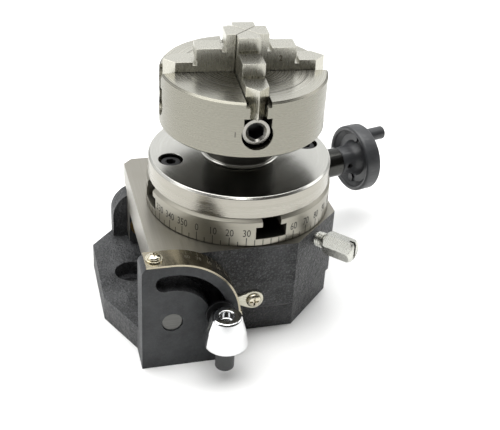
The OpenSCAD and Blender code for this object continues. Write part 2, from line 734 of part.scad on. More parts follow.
module lock_pad() color([0.7, 0.54, 0.3]) on_lock()
    translate([0, 0, hub_r + gap]) cylinder(r = lock_r, h = pad_len);

module lock_screw() color([0.75, 0.74, 0.7]) on_lock() difference() {
    union() {
        translate([0, 0, hub_r + gap + pad_len + 0.2])
            cylinder(r = lock_r, h = lock_head_s + cut - hub_r - gap - pad_len);
        translate([0, 0, lock_head_s]) rotate([0, 0, 20]) intersection() {
            cylinder(d = lock_af / cos(30), h = lock_head_len, $fn = 6);
            rotate_extrude() polygon([[0, 0], [4.5, 0], [5.3, 0.8], [5.3, lock_head_len - 1.8],
                [4.6, lock_head_len - 0.6], [3.4, lock_head_len], [0, lock_head_len]]);
        }
    }
    translate([-8, -lock_slot / 2, lock_head_s + lock_head_len - lock_slot_deep]) cube([16, lock_slot, 6]);
}

// ---------- back plate ----------

module t_nuts() color([0.3, 0.3, 0.31]) for (k = [0, 1]) rotate([0, 0, tslot_angle - 90 + 180 * k])
    difference() {
        translate([plate_screw_r - t_nut_len / 2, 0, slot_floor + gap]) {
            translate([0, -tslot_wide / 2 + gap, 0])
                cube([t_nut_len, tslot_wide - 2 * gap, neck_z - slot_floor - 2 * gap]);
            translate([0, -tslot_neck / 2 + gap, 0])
                cube([t_nut_len, tslot_neck - 2 * gap, table_top - slot_floor - 3 * gap]);
        }
        rotate([0, 0, screw_skew]) translate([plate_screw_r, 0, slot_floor - cut]) cylinder(r = 2.1, h = 20);
    }

module at_plate_screws() for (k = [0, 1]) rotate([0, 0, tslot_angle - 90 + screw_skew + 180 * k])
    translate([plate_screw_r, 0, 0]) children();

module back_plate() color([0.75, 0.75, 0.74]) difference() {
    union() {
        chamfered(plate_r, table_top, plate_top, 0.9);
        rotate_extrude() polygon(concat([[0, plate_top - 1], [hub_neck_r + hub_fillet, plate_top - 1]],
            [for (a = [270 : -15 : 180]) [hub_neck_r + hub_fillet + hub_fillet * cos(a),
                                          plate_top + hub_fillet + hub_fillet * sin(a)]],
            [[hub_neck_r, chuck_z0], [0, chuck_z0]]));
        translate([0, 0, chuck_z0 - eps]) cylinder(r = register_r, h = register_h);
    }
    translate([0, 0, table_top - cut]) cylinder(r = plate_bore, h = 40);
    at_plate_screws() {
        translate([0, 0, table_top - cut]) cylinder(r = 2.75, h = 20);
        translate([0, 0, plate_top - plate_sink]) cylinder(r = 5.2, h = 8);
    }
}

module back_plate_screws() color([0.15, 0.15, 0.16]) at_plate_screws()
    translate([0, 0, plate_top - plate_sink]) cap_screw(4.2, 4.6, 2.05, 12.6, 4);

// ---------- chuck ----------

module at_jaw(k) rotate([0, 0, jaw_angle + 90 * (k - 1)]) children();

// a cylinder along +X from x0 to x1 at the height of the jaw screws
module along_x(r, x0, x1) translate([x0, 0, screw_z]) rotate([0, 90, 0]) cylinder(r = r, h = x1 - x0);

// cross-section of a jaw's guide: wide at the face, narrow between the rails, wide at the foot
module jaw_guide() {
    reach = chuck_r + cut;
    translate([0, -guide_w / 2, rail_z1]) cube([reach, guide_w, chuck_z1 + cut - rail_z1]);
    translate([0, -rail_w / 2, rail_z0 - cut]) cube([reach, rail_w, rail_z1 - rail_z0 + 2 * cut]);
    translate([0, -foot_w / 2, screw_z]) cube([reach, foot_w, rail_z0 - screw_z]);
}

module chuck_body() color([0.74, 0.73, 0.7]) difference() {
    rotate_extrude() polygon([[0, chuck_z0], [chuck_r - face_chamfer, chuck_z0],
        [chuck_r, chuck_z0 + face_chamfer], [chuck_r, chuck_z1 - face_chamfer],
        [chuck_r - face_chamfer, chuck_z1], [0, chuck_z1]]);
    translate([0, 0, chuck_z0 - cut]) cylinder(r = register_r + run, h = 40);
    for (k = [1 : 4]) at_jaw(k) {
        jaw_guide();
        along_x(screw_hole_r, 0, chuck_r + cut);
    }
}

module screw_forks() color([0.3, 0.3, 0.31]) for (k = [1 : 4]) at_jaw(k) difference() {
    along_x(screw_hole_r - 0.02, fork_s + gap / 2, fork_s + fork_t - gap / 2);
    along_x(fork_neck_r + gap, fork_s - cut, fork_s + fork_t + cut);
    translate([fork_s - cut, -10, screw_z]) cube([10, 20, 20]);
}

// plan of a jaw: wedge at the middle, blunt point at the rim
module jaw_plan(half, end) polygon([[jaw_apex, 0], [jaw_apex + half, half], [end - half, half],
    [end, 0], [end - half, -half], [jaw_apex + half, -half]]);

module jaw_block(half, end, z0, z1) translate([0, 0, z0]) linear_extrude(z1 - z0) jaw_plan(half, end);

module jaw(k) color([0.72, 0.71, 0.68]) at_jaw(k) difference() {
    union() {
        jaw_block(jaw_w / 2, jaw_ends[2], rail_z1 + gap, jaw_tops[2]);
        for (i = [0, 1]) intersection() {
            jaw_block(jaw_w / 2, jaw_ends[2], jaw_tops[2] - 1, jaw_tops[i]);
            translate([0, -10, chuck_z1]) cube([jaw_ends[i], 20, 40]);
        }
        jaw_block(rail_w / 2 - gap, jaw_ends[2], rail_z0 - 1, rail_z1 + gap + eps);
        jaw_block(foot_w / 2 - gap, jaw_ends[2], jaw_foot_z, rail_z0 - gap);
    }
    along_x(jaw_screw_r + gap, -cut, chuck_r + 2 * cut);
    // relief grooves at the foot of the two upper steps
    for (i = [0, 1]) translate([jaw_ends[i] - relief_in, -10, jaw_tops[i + 1] + relief_in - relief[1]])
        cube([relief[0], 20, relief[1]]);
}

module jaw_screw(k) color([0.6, 0.6, 0.6]) at_jaw(k) difference() {
    union() {
        along_x(jaw_screw_r, screw_in, fork_s);
        along_x(fork_neck_r, fork_s - cut, fork_s + fork_t + cut);
        along_x(jaw_screw_r, fork_s + fork_t, screw_out);
    }
    translate([screw_out - screw_af, 0, screw_z]) rotate([0, 90, 0])
        cylinder(d = screw_af / cos(30), h = screw_af + cut, $fn = 6);
    translate([screw_out - 0.8, 0, screw_z]) rotate([0, 90, 0]) cylinder(r1 = 3.4, r2 = 4.3, h = 0.9);
}

module jaw_1() jaw(1);
module jaw_2() jaw(2);
module jaw_3() jaw(3);
module jaw_4() jaw(4);
module jaw_screw_1() jaw_screw(1);
module jaw_screw_2() jaw_screw(2);
module jaw_screw_3() jaw_screw(3);
module jaw_screw_4() jaw_screw(4);

base_casting();
near_pivot_pin();
far_pivot_pin();
tilt_scale();
scale_screws();
scale_washers();
body_casting();
pivot_bushes();
tilt_pointer();
pointer_screw();
clamp_stud();
clamp_washer();
clamp_hub();
clamp_grip();
rotary_table();
worm_wheel();
wheel_screws();
spindle_bush();
thrust_ring();
retaining_washer();
spindle_nut();
bottom_cover();
cover_screws();
worm();
worm_shaft();
worm_sleeve();
end_bush();
sleeve_screw();
dial_collar();
index_ring();
handwheel();
handwheel_pins();
grip_screw();
lock_screw();
lock_pad();
t_nuts();
back_plate();
back_plate_screws();
chuck_body();
screw_forks();
jaw_1();
jaw_2();
jaw_3();
jaw_4();
jaw_screw_1();
jaw_screw_2();
jaw_screw_3();
jaw_screw_4();
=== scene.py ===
# %% [markdown]
# # A tilting rotary table with a small chuck
#
# The object is a machinist's tool: a worm turns a graduated steel table, the table sits in a cast
# body, and the body tilts on a cast base. A back plate carries a chuck with four separate jaws.
# The parts, their places and the way they move come ready made in the frame. This lesson gives
# each part the finish it has in a workshop, breaks its sharp edges, and adds the marks that are cut
# into it. The first lines have to come first, because every place below is read from the frame.

# %% Load the frame
import json
import math
import bmesh
import bpy
from mathutils import Matrix, Vector

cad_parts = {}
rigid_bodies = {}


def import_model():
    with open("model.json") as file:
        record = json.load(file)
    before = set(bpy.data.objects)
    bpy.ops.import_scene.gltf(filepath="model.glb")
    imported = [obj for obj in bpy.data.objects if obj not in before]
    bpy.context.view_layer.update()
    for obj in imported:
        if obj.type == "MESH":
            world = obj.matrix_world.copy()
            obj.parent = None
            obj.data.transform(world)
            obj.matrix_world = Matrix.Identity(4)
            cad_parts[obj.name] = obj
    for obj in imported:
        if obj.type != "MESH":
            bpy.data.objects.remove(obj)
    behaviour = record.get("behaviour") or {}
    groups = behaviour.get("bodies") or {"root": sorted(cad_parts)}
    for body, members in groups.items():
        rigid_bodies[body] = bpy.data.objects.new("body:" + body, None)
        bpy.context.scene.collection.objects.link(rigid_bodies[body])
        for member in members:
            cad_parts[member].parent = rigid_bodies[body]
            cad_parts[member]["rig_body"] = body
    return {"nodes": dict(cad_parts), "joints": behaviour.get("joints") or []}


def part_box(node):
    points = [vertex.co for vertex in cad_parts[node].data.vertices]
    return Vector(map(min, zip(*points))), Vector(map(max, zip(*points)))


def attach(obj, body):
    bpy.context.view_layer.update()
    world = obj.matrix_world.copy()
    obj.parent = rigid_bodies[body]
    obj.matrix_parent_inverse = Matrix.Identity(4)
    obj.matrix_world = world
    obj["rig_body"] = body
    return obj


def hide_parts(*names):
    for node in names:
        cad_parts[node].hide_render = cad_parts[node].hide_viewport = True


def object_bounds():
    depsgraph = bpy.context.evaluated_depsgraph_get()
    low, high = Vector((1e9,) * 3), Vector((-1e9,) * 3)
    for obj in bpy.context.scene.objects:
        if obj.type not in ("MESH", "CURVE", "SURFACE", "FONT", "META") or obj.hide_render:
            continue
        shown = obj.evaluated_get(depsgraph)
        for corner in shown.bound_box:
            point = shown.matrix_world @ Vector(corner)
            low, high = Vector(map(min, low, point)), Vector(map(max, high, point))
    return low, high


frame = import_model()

MM = 0.001
cad_low, cad_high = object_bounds()
joints = {j["name"]: j for j in frame["joints"]}
print("parts:", len(frame["nodes"]), "size in mm:", [round(v / MM, 1) for v in cad_high - cad_low])

# %% [markdown]
# ## The camera
#
# A camera could be placed by its angles or by its own place and direction. Here it is the place
# and the direction, since this view has a small roll, and a roll is easy to add to a direction.
# The lens is a short telephoto, which keeps round parts round near the edges.

# %% Place the camera
camera_place = Vector((-96.6, -350.8, 266.5)) * MM
camera_look = Vector((0.2385, 0.8115, -0.5335)).normalized()
camera_roll = math.radians(3.63)
LENS, SENSOR = 69.1, 36.0

level = camera_look.cross(Vector((0, 0, 1))).normalized()
upright = level.cross(camera_look)
right = math.cos(camera_roll) * level + math.sin(camera_roll) * upright
up = math.cos(camera_roll) * upright - math.sin(camera_roll) * level

camera_data = bpy.data.cameras.new("camera")
camera_data.lens = LENS
camera_data.sensor_width = SENSOR
camera = bpy.data.objects.new("camera", camera_data)
facing = Matrix((right, up, -camera_look)).transposed().to_4x4()
camera.matrix_world = Matrix.Translation(camera_place) @ facing
bpy.context.scene.collection.objects.link(camera)
bpy.context.scene.camera = camera
print("camera height in mm:", round(camera_place.z / MM))

# %% [markdown]
# ## Colours and nodes
#
# Colours are written as they look on a screen, as hex values, and turned to the linear values that
# the shaders count in by one function. Another small function adds a shader node with its settings
# and links, so that each material below reads like a list of what it is made of. Its inputs go by
# name, or by number in the node's own order. A mix node has several inputs of one name, so the two
# colours and the mixed result always go by number.

# %% Helpers for materials
def colour(hex_value):
    """Screen colour such as "8a8478" as linear red, green, blue and full alpha."""
    channels = [int(hex_value[i:i + 2], 16) / 255 for i in (0, 2, 4)]
    linear = [c / 12.92 if c <= 0.04045 else ((c + 0.055) / 1.055) ** 2.4 for c in channels]
    return (*linear, 1.0)


def join(tree, node, inputs):
    """Fill inputs: the output of another node is linked, and anything else is a plain value."""
    for name, value in inputs.items():
        if isinstance(value, bpy.types.NodeSocket):
            tree.links.new(value, node.inputs[name])
        else:
            node.inputs[name].default_value = value


def add(tree, kind, inputs=(), **settings):
    """Add a shader node. Inputs come in a dict by name or number, or in a tuple in order."""
    node = tree.nodes.new("ShaderNode" + kind)
    for key, value in settings.items():
        setattr(node, key, value)
    join(tree, node, inputs if isinstance(inputs, dict) else dict(enumerate(inputs)))
    return node


def finish(name, base, roughness, metallic=0.0, **shader):
    """A new material with one main shader, whose fixed values are set on its own sockets."""
    material = bpy.data.materials.new(name)
    material.use_nodes = True
    tree = material.node_tree
    main = tree.nodes["Principled BSDF"]
    main.inputs["Base Color"].default_value = colour(base)
    main.inputs["Roughness"].default_value = roughness
    main.inputs["Metallic"].default_value = metallic
    for key, value in shader.items():
        main.inputs[key.replace("_", " ")].default_value = value
    return material, tree, main


COLOUR_1, COLOUR_2, MIXED = 6, 7, 2
print("a mix node's colours are inputs", COLOUR_1, "and", COLOUR_2)

# %% [markdown]
# ## Sand-cast iron under black paint
#
# The base and the body are poured iron. The skin of a sand casting keeps the print of the sand:
# lumps of a millimetre or two with finer grit on them, and paint only softens that. It could be
# sculpted into the mesh, but the relief is a tenth of a millimetre, so a height pattern does it.
# Where the paint is thin on the high grit, small grey specks show.

# %% Cast iron, painted
GRIT_MM, LUMP_MM, PATCH_MM = 0.85, 2.8, 14.0
SPECK_FROM, SPECK_TO = 0.62, 0.72


def painted_cast_iron(name, deep, body, worn, relief_mm, speck_share):
    material, tree, main = finish(name, body, 0.5, Specular_IOR_Level=0.45)
    point = add(tree, "TexCoord").outputs["Object"]
    grit, lumps, patches = [
        add(tree, "TexNoise", {"Vector": point, "Scale": 1 / (size * MM), "Detail": detail,
                               "Roughness": rough}).outputs["Fac"]
        for size, detail, rough in ((GRIT_MM, 3.0, 0.6), (LUMP_MM, 2.0, 0.5), (PATCH_MM, 2.0, 0.5))]

    in_hollows = add(tree, "MapRange", (lumps, 0.35, 0.65, 0, 1)).outputs["Result"]
    in_patches = add(tree, "MapRange", (patches, 0.4, 0.65, 0, 0.35)).outputs["Result"]
    speck_from = SPECK_FROM - 0.1 * speck_share
    specks = add(tree, "MapRange", (grit, speck_from, SPECK_TO, 0, 0.8 * speck_share)).outputs["Result"]
    shade = colour(deep)
    for share, other in ((in_hollows, body), (in_patches, worn), (specks, worn)):
        mix = {"Factor": share, COLOUR_1: shade, COLOUR_2: colour(other)}
        shade = add(tree, "Mix", mix, data_type="RGBA").outputs[MIXED]

    gloss = add(tree, "MapRange", (grit, 0.3, 0.7, 0.62, 0.42)).outputs["Result"]
    fine = add(tree, "MapRange", (grit, 0, 1, 0, 0.7)).outputs["Result"]
    height = add(tree, "Math", (lumps, fine), operation="ADD").outputs["Value"]
    relief = add(tree, "Bump", {"Height": height, "Distance": relief_mm * MM}).outputs["Normal"]
    join(tree, main, {"Base Color": shade, "Roughness": gloss, "Normal": relief})
    return material


cast_paint = painted_cast_iron("sand-cast iron, black paint", "121314", "1f2022", "5a5b5c", 1.0, 1.0)
smooth_paint = painted_cast_iron("machined iron, black paint", "1f2123", "292b2d", "444648", 0.1, 0.3)
print("made:", cast_paint.name, "and", smooth_paint.name)

# %% [markdown]
# ## What all the metal finishes share
#
# Worked metal has two patterns on it. The fine one is what the tool left, and it changes the tint,
# the gloss and the relief together. The wide one is handling and oil, which only evens the tint
# out in clouds. Each finish below draws its own fine pattern and hands it to this recipe. Gloss
# varies by a share of the finish's own roughness, so that a mirror stays one.

# %% Lay a fine pattern on a metal
def lay_pattern(tree, main, pattern, base, other, roughness, gloss_share, cloud_mm, cloud_range, relief_mm):
    """Let a fine pattern set tint, gloss and relief, with clouds of the base colour over it."""
    point = add(tree, "TexCoord").outputs["Object"]
    cloud = add(tree, "TexNoise", {"Vector": point, "Scale": 1 / (cloud_mm * MM), "Detail": 2.0,
                                   "Roughness": 0.5}).outputs["Fac"]
    fine = add(tree, "MapRange", (pattern, 0.35, 0.65, 0, 1)).outputs["Result"]
    clouded = add(tree, "MapRange", (cloud, *cloud_range)).outputs["Result"]
    mix = {"Factor": fine, COLOUR_1: colour(base), COLOUR_2: colour(other)}
    tint = add(tree, "Mix", mix, data_type="RGBA").outputs[MIXED]
    mix = {"Factor": clouded, COLOUR_1: tint, COLOUR_2: colour(base)}
    tint = add(tree, "Mix", mix, data_type="RGBA").outputs[MIXED]
    low, high = gloss_share
    gloss = add(tree, "MapRange", (pattern, 0.3, 0.7, roughness * low, roughness * high)).outputs["Result"]
    relief = add(tree, "Bump", {"Height": pattern, "Distance": relief_mm * MM}).outputs["Normal"]
    join(tree, main, {"Base Color": tint, "Roughness": gloss, "Normal": relief})


print("a finish is now a pattern and two tints")

# %% [markdown]
# ## Bare steel, turned on a lathe
#
# A lathe tool leaves fine rings round the axis. They scatter light across themselves, so a round
# bar shows bright and dark bands along its length, and a faced disc shows a bow-tie that turns
# with the eye. The rings are far too fine to model. The shader's anisotropy does this, with a
# tangent that runs round the axis, and a band pattern gives the few coarser rings that the eye can
# pick out. The tool marks are 0.1 mm apart on a real part and drawn at 0.5 mm so that they show.

# %% Turned steel
RING_MM = 0.5


def turned_steel(name, base, warm, roughness, sheen_across, depth_mm):
    material, tree, main = finish(name, base, roughness, 1.0, Anisotropic=sheen_across)
    point = add(tree, "TexCoord").outputs["Object"]
    parts = add(tree, "SeparateXYZ", {"Vector": point}).outputs
    flat = add(tree, "CombineXYZ", {"X": parts["X"], "Y": parts["Y"]}).outputs["Vector"]
    radius = add(tree, "VectorMath", (flat,), operation="LENGTH").outputs["Value"]
    across = add(tree, "CombineXYZ", {"X": radius, "Z": parts["Z"]}).outputs["Vector"]
    rings = add(tree, "TexNoise", {"Vector": across, "Scale": 1 / (RING_MM * MM), "Detail": 2.0,
                                   "Roughness": 0.6}).outputs["Fac"]
    lay_pattern(tree, main, rings, base, warm, roughness, (0.85, 1.2), 18.0, (0.4, 0.7, 0, 0.5), depth_mm)
    tangent = add(tree, "Tangent", direction_type="RADIAL", axis="Z").outputs["Tangent"]
    join(tree, main, {"Tangent": tangent})
    return material


table_steel = turned_steel("turned steel, table", "8f8c83", "989589", 0.34, 0.55, 0.001)
plate_steel = turned_steel("turned steel, polished face", "bdbcb6", "c3c2bc", 0.18, 0.7, 0.0006)
rim_steel = turned_steel("turned steel, rim of the plate", "9b988f", "a3a097", 0.24, 0.6, 0.0006)
# The chuck's side is darkened below bare steel as painted shade, and its faced front is brightened as painted
# light; the two are shaded and lit copies of one turned steel.
shaded_chuck_steel = turned_steel("turned steel, chuck, painted shade", "86847a", "8a887e", 0.27, 0.75, 0.0004)
lit_face_steel = turned_steel("turned steel, face of the chuck, painted light", "aeaca2", "b6b4aa", 0.26, 0.7, 0.0008)
print("made:", table_steel.name, plate_steel.name, shaded_chuck_steel.name)

# %% [markdown]
# ## Bare iron and steel, ground flat
#
# A surface grinder draws long straight scratches in one direction. They are a noise that is
# stretched a hundred times along the stroke. The same recipe serves the body's top and side, the
# jaws and the tilt strip, with other tints and strokes.

# %% Ground steel
SCRATCH_MM = 0.3


def ground_steel(name, base, light, roughness, stroke=(0.01, 1, 1), depth_mm=0.004, scratch_mm=SCRATCH_MM):
    material, tree, main = finish(name, base, roughness, 1.0)
    point = add(tree, "TexCoord").outputs["Object"]
    drawn = add(tree, "Mapping", {"Vector": point, "Scale": stroke}).outputs["Vector"]
    scratches = add(tree, "TexNoise", {"Vector": drawn, "Scale": 1 / (scratch_mm * MM), "Detail": 2.0,
                                       "Roughness": 0.6}).outputs["Fac"]
    lay_pattern(tree, main, scratches, base, light, roughness, (0.9, 1.12), 9.0, (0.4, 0.7, 0, 0.6), depth_mm)
    return material


ground_iron = ground_steel("ground cast iron", "8e8b82", "95928a", 0.34, (1.0, 0.01, 1.0), 0.0015)
jaw_steel = ground_steel("ground steel, jaws", "b9b7ad", "bebcb2", 0.27, (1.0, 1.0, 0.05), 0.0003, 0.15)
strip_steel = ground_steel("polished steel strip", "98917f", "aaa391", 0.2, (1.0, 0.02, 1.0))
pointer_steel = ground_steel("bright rolled steel", "b9b6a6", "c8c5b6", 0.28, (0.02, 1.0, 1.0))
shaft_steel = ground_steel("dark ground steel", "3c3c3a", "4c4c49", 0.2, (0.02, 1.0, 1.0), 0.002)
pin_steel = ground_steel("dark turned steel", "5c5c5a", "6a6a67", 0.36)
# The dark tint of this steel is painted shade for the chuck's rear and the neck under it; its higher
# roughness is real.
shaded_rear_steel = ground_steel("dark rough steel, painted shade", "403f3c", "4b4a46", 0.42)
print("made:", ground_iron.name, jaw_steel.name, strip_steel.name, pointer_steel.name, shaft_steel.name)

# %% [markdown]
# ## Plated, blackened, painted and bronze parts
#
# Screws are nickel plated or blackened in a hot salt bath, the clamp's hub is chromed, and the
# handwheel has a satin black coat. Each is one colour with a little unevenness: plating pools in
# the recesses, oil stains the black, and handling polishes the coat. A fine noise on the roughness
# is enough, and a chrome mirror gets the least of it.

# %% Small finishes
def even_finish(name, base, other, roughness, metallic, grain_mm, depth_mm, **shader):
    material, tree, main = finish(name, base, roughness, metallic, **shader)
    point = add(tree, "TexCoord").outputs["Object"]
    grain, cloud = [
        add(tree, "TexNoise", {"Vector": point, "Scale": 1 / (size * MM), "Detail": detail,
                               "Roughness": rough}).outputs["Fac"]
        for size, detail, rough in ((grain_mm, 3.0, 0.6), (7.0, 2.0, 0.5))]
    clouded = add(tree, "MapRange", (cloud, 0.35, 0.65, 0, 1)).outputs["Result"]
    mix = {"Factor": clouded, COLOUR_1: colour(base), COLOUR_2: colour(other)}
    tint = add(tree, "Mix", mix, data_type="RGBA").outputs[MIXED]
    gloss = add(tree, "MapRange", (grain, 0.3, 0.7, roughness * 0.85, roughness * 1.2)).outputs["Result"]
    relief = add(tree, "Bump", {"Height": grain, "Distance": depth_mm * MM}).outputs["Normal"]
    join(tree, main, {"Base Color": tint, "Roughness": gloss, "Normal": relief})
    return material


nickel_plate = even_finish("nickel plate", "c4bda8", "d0cab8", 0.2, 1.0, 0.5, 0.003)
zinc_plate = even_finish("bright zinc plate", "b4b4ad", "c2c2bb", 0.26, 1.0, 0.4, 0.004)
chrome_plate = even_finish("chrome plate", "dcdcdc", "d6d7d8", 0.06, 1.0, 2.5, 0.0)
black_oxide = even_finish("black oxide on steel", "1c1c1d", "262627", 0.34, 0.6, 0.4, 0.004)
satin_black = even_finish("satin black coat", "27282a", "323335", 0.42, 0.0, 0.35, 0.012, Coat_Weight=0.15)
moulded_black = even_finish("moulded black grip", "2a2b2b", "353636", 0.5, 0.0, 0.4, 0.01)
bronze = even_finish("bearing bronze", "a8824a", "b8925a", 0.3, 1.0, 0.5, 0.004)
bright_steel = even_finish("machined steel", "94928c", "a3a19b", 0.25, 1.0, 0.3, 0.004)
cut_mark = even_finish("black filled engraving", "26241f", "302d27", 0.6, 0.0, 0.3, 0.004)
faint_mark = even_finish("worn engraving", "464236", "524c3e", 0.5, 0.3, 0.3, 0.004)
print("made ten small finishes")

# %% [markdown]
# ## Dressing the parts
#
# A machined edge is never sharp: it is broken with a file, or it shines along every corner of the
# part. It could be faked with a shader that rounds normals, but a real bevel also changes the
# outline and leaves with the mesh. It is cut wherever two faces meet at more than 30 degrees.

# %% Break edges with a bevel
EDGE_ANGLE = math.radians(30)


def paint(piece, material):
    """Give the whole piece one material."""
    piece.data.materials.clear()
    piece.data.materials.append(material)


def apply_modifiers(piece):
    """Turn what the modifiers make into the piece's own mesh."""
    bpy.context.view_layer.update()
    shown = piece.evaluated_get(bpy.context.evaluated_depsgraph_get())
    made = bpy.data.meshes.new_from_object(shown)
    piece.modifiers.clear()
    piece.data = made


def break_edges(piece, width_mm, steps=2):
    """Bevel the piece's sharp edges and shade it so that flat faces stay flat."""
    bevel = piece.modifiers.new("edges", "BEVEL")
    bevel.width = width_mm * MM
    bevel.segments = steps
    bevel.limit_method = "ANGLE"
    bevel.angle_limit = EDGE_ANGLE
    bevel.use_clamp_overlap = True
    bevel.harden_normals = True
    apply_modifiers(piece)


print("edges over", round(math.degrees(EDGE_ANGLE)), "degrees get a bevel")

# %% [markdown]
# ## Copies in place of the parts
#
# The frame's own meshes can't be touched. The frame's own meshes are kept as they are, so a part
# that is seen gets a copy: the part is hidden and the copy rides on the same body. A bevel needs
# clean faces to run along, so the copy is welded and its flat triangles are joined first. Parts that
# are inside keep the frame's mesh.

# %% Dress the five largest parts and the jaws
FLAT_ANGLE = math.radians(0.6)
WELD = 0.002 * MM


def dressed(node, material, width_mm, steps=2):
    """A copy of a frame part with broken edges, which rides where the part does while the part is hidden."""
    source = frame["nodes"][node]
    mesh = source.data.copy()
    if "custom_normal" in mesh.attributes:
        mesh.attributes.remove(mesh.attributes["custom_normal"])
    form = bmesh.new()
    form.from_mesh(mesh)
    bmesh.ops.remove_doubles(form, verts=form.verts, dist=WELD)
    bmesh.ops.dissolve_limit(form, angle_limit=FLAT_ANGLE, verts=form.verts, edges=form.edges)
    for face in form.faces:
        face.smooth = True
    form.to_mesh(mesh)
    form.free()
    mesh.set_sharp_from_angle(angle=EDGE_ANGLE)
    piece = bpy.data.objects.new(node + "_dressed", mesh)
    bpy.context.scene.collection.objects.link(piece)
    paint(piece, material)
    break_edges(piece, width_mm, steps)
    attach(piece, source["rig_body"])
    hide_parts(node)
    return piece


base = dressed("base_casting", cast_paint, 0.7, 3)
body = dressed("body_casting", cast_paint, 0.45, 2)
dressed("rotary_table", table_steel, 0.18)
plate = dressed("back_plate", plate_steel, 0.2)
# The chuck's darkened side tint is painted shade.
chuck = dressed("chuck_body", shaded_chuck_steel, 0.25)
jaws = [dressed(f"jaw_{k}", jaw_steel, 0.2) for k in (1, 2, 3, 4)]
print("broken edges on", 5 + len(jaws), "parts; the body now has", len(body.data.polygons), "faces")

# %% [markdown]
# ## Machined faces on the castings
#
# The casting's paint stops where the grinder has been: the body's top, on which the table turns,
# and its left side. The cheek is milled before it is painted, so it is smoother than the rest.
# These are whole faces of the mesh, so each is found by which way it looks and where it lies, and
# gets its own material.

# %% Pick the machined faces
def paint_faces(piece, material, chosen):
    """Give a second material to the faces for which chosen(centre, normal) is true."""
    piece.data.materials.append(material)
    index = len(piece.data.materials) - 1
    count = 0
    for face in piece.data.polygons:
        if chosen(face.center, face.normal):
            face.material_index = index
            count += 1
    return count


body_low, body_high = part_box("body_casting")
NEAR = 0.05 * MM
top_faces = paint_faces(body, ground_iron, lambda c, n: n.z > 0.9 and c.z > body_high.z - NEAR)
side_faces = paint_faces(body, ground_iron, lambda c, n: n.x < -0.9 and c.x < body_low.x + NEAR)
cheek_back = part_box("tilt_scale")[1].y
cheek_faces = paint_faces(
    base, smooth_paint, lambda c, n: c.y < cheek_back + NEAR and (n.y < -0.5 or n.x < -0.5))
print("ground faces:", top_faces + side_faces, "milled faces on the cheek:", cheek_faces)

# %% [markdown]
# ## The other parts
#
# The table below says which finish each of the remaining parts has. Those that show get a copy with
# a small broken edge, and those inside keep the mesh of the frame and only change material.

# %% Dress the rest
SEEN = {
    "clamp_grip": (moulded_black, 0.2), "clamp_stud": (black_oxide, 0.15),
    "clamp_washer": (black_oxide, 0.1),
    "near_pivot_pin": (pin_steel, 0.4), "far_pivot_pin": (pin_steel, 0.4),
    "tilt_scale": (strip_steel, 0.08), "scale_washers": (nickel_plate, 0.08),
    "scale_screws": (nickel_plate, 0.06), "tilt_pointer": (pointer_steel, 0.12),
    "pointer_screw": (nickel_plate, 0.06), "lock_screw": (zinc_plate, 0.15),
    "dial_collar": (shaft_steel, 0.15), "index_ring": (bright_steel, 0.12),
    "worm_sleeve": (shaft_steel, 0.2),
    "handwheel": (satin_black, 0.4), "handwheel_pins": (satin_black, 0.25),
    "back_plate_screws": (black_oxide, 0.12),
    **{f"jaw_screw_{k}": (bright_steel, 0.12) for k in (1, 2, 3, 4)},
}
INNER = {
    bronze: ("pivot_bushes", "spindle_bush", "thrust_ring", "end_bush", "lock_pad", "worm_wheel"),
    bright_steel: ("worm", "worm_shaft"),
    black_oxide: ("wheel_screws", "retaining_washer", "spindle_nut", "bottom_cover", "cover_screws",
                  "sleeve_screw", "grip_screw", "t_nuts", "screw_forks"),
}
made = {name: dressed(name, material, width) for name, (material, width) in SEEN.items()}
for material, names in INNER.items():
    for name in names:
        paint(frame["nodes"][name], material)
print("dressed", len(SEEN), "more parts and painted", sum(map(len, INNER.values())), "inner ones")

# %% [markdown]
# ## The clamp's hub
#
# Chrome shows every flat of a coarse mesh as a crease in its reflections, so this hub isn't a copy.
# It is turned afresh: a profile of radius against height is spun round the hub's own axis in fine
# steps. Each corner of the profile is rounded a little first, with a curve that leaves the one side
# and meets the other.

# %% Round the corners of a profile
def rounded(profile, radius, steps=4):
    """Round the inner corners of an open profile of (r, z) points."""
    points = [Vector(p) for p in profile]
    out = [points[0]]
    for before, corner, after in zip(points, points[1:], points[2:]):
        reach = min(radius, 0.45 * (before - corner).length, 0.45 * (after - corner).length)
        a = corner + (before - corner).normalized() * reach
        b = corner + (after - corner).normalized() * reach
        for i in range(steps + 1):
            t = i / steps
            out.append((1 - t) ** 2 * a + 2 * t * (1 - t) * corner + t * t * b)
    return out + [points[-1]]


print("corners can be rounded")

# %% [markdown]
# ## Spinning the profile
#
# Each point of the profile becomes a ring, neighbouring rings are joined with faces, and the two
# ends on the axis are closed with a fan.

# %% Spin a profile round an upright axis
def turned(name, profile, centre, material, around=160):
    """Spin a profile of (r, z) points, which starts and ends on the axis, round a vertical axis."""
    form = bmesh.new()
    loops = []
    for r, z in profile[1:-1]:
        loops.append([form.verts.new((centre.x + r * math.cos(2 * math.pi * i / around),
                                      centre.y + r * math.sin(2 * math.pi * i / around), z))
                      for i in range(around)])
    ends = [form.verts.new((centre.x, centre.y, profile[k].y)) for k in (0, -1)]
    for one, two in zip(loops, loops[1:]):
        for i in range(around):
            form.faces.new((one[i], one[(i + 1) % around], two[(i + 1) % around], two[i]))
    for end, loop in zip(ends, (loops[0], loops[-1])):
        for i in range(around):
            form.faces.new((end, loop[i], loop[(i + 1) % around]))
    bmesh.ops.recalc_face_normals(form, faces=form.faces)
    for face in form.faces:
        face.smooth = True
    mesh = bpy.data.meshes.new(name)
    form.to_mesh(mesh)
    form.free()
    mesh.set_sharp_from_angle(angle=EDGE_ANGLE)
    piece = bpy.data.objects.new(name, mesh)
    bpy.context.scene.collection.objects.link(piece)
    paint(piece, material)
    return piece


print("profiles can be spun")

# %% [markdown]
# ## The hub's own profile
#
# The hub swells from a narrow foot to a belly low down and narrows again to a flat top. The tapped
# hole in the top is part of the profile, so no cut is needed.

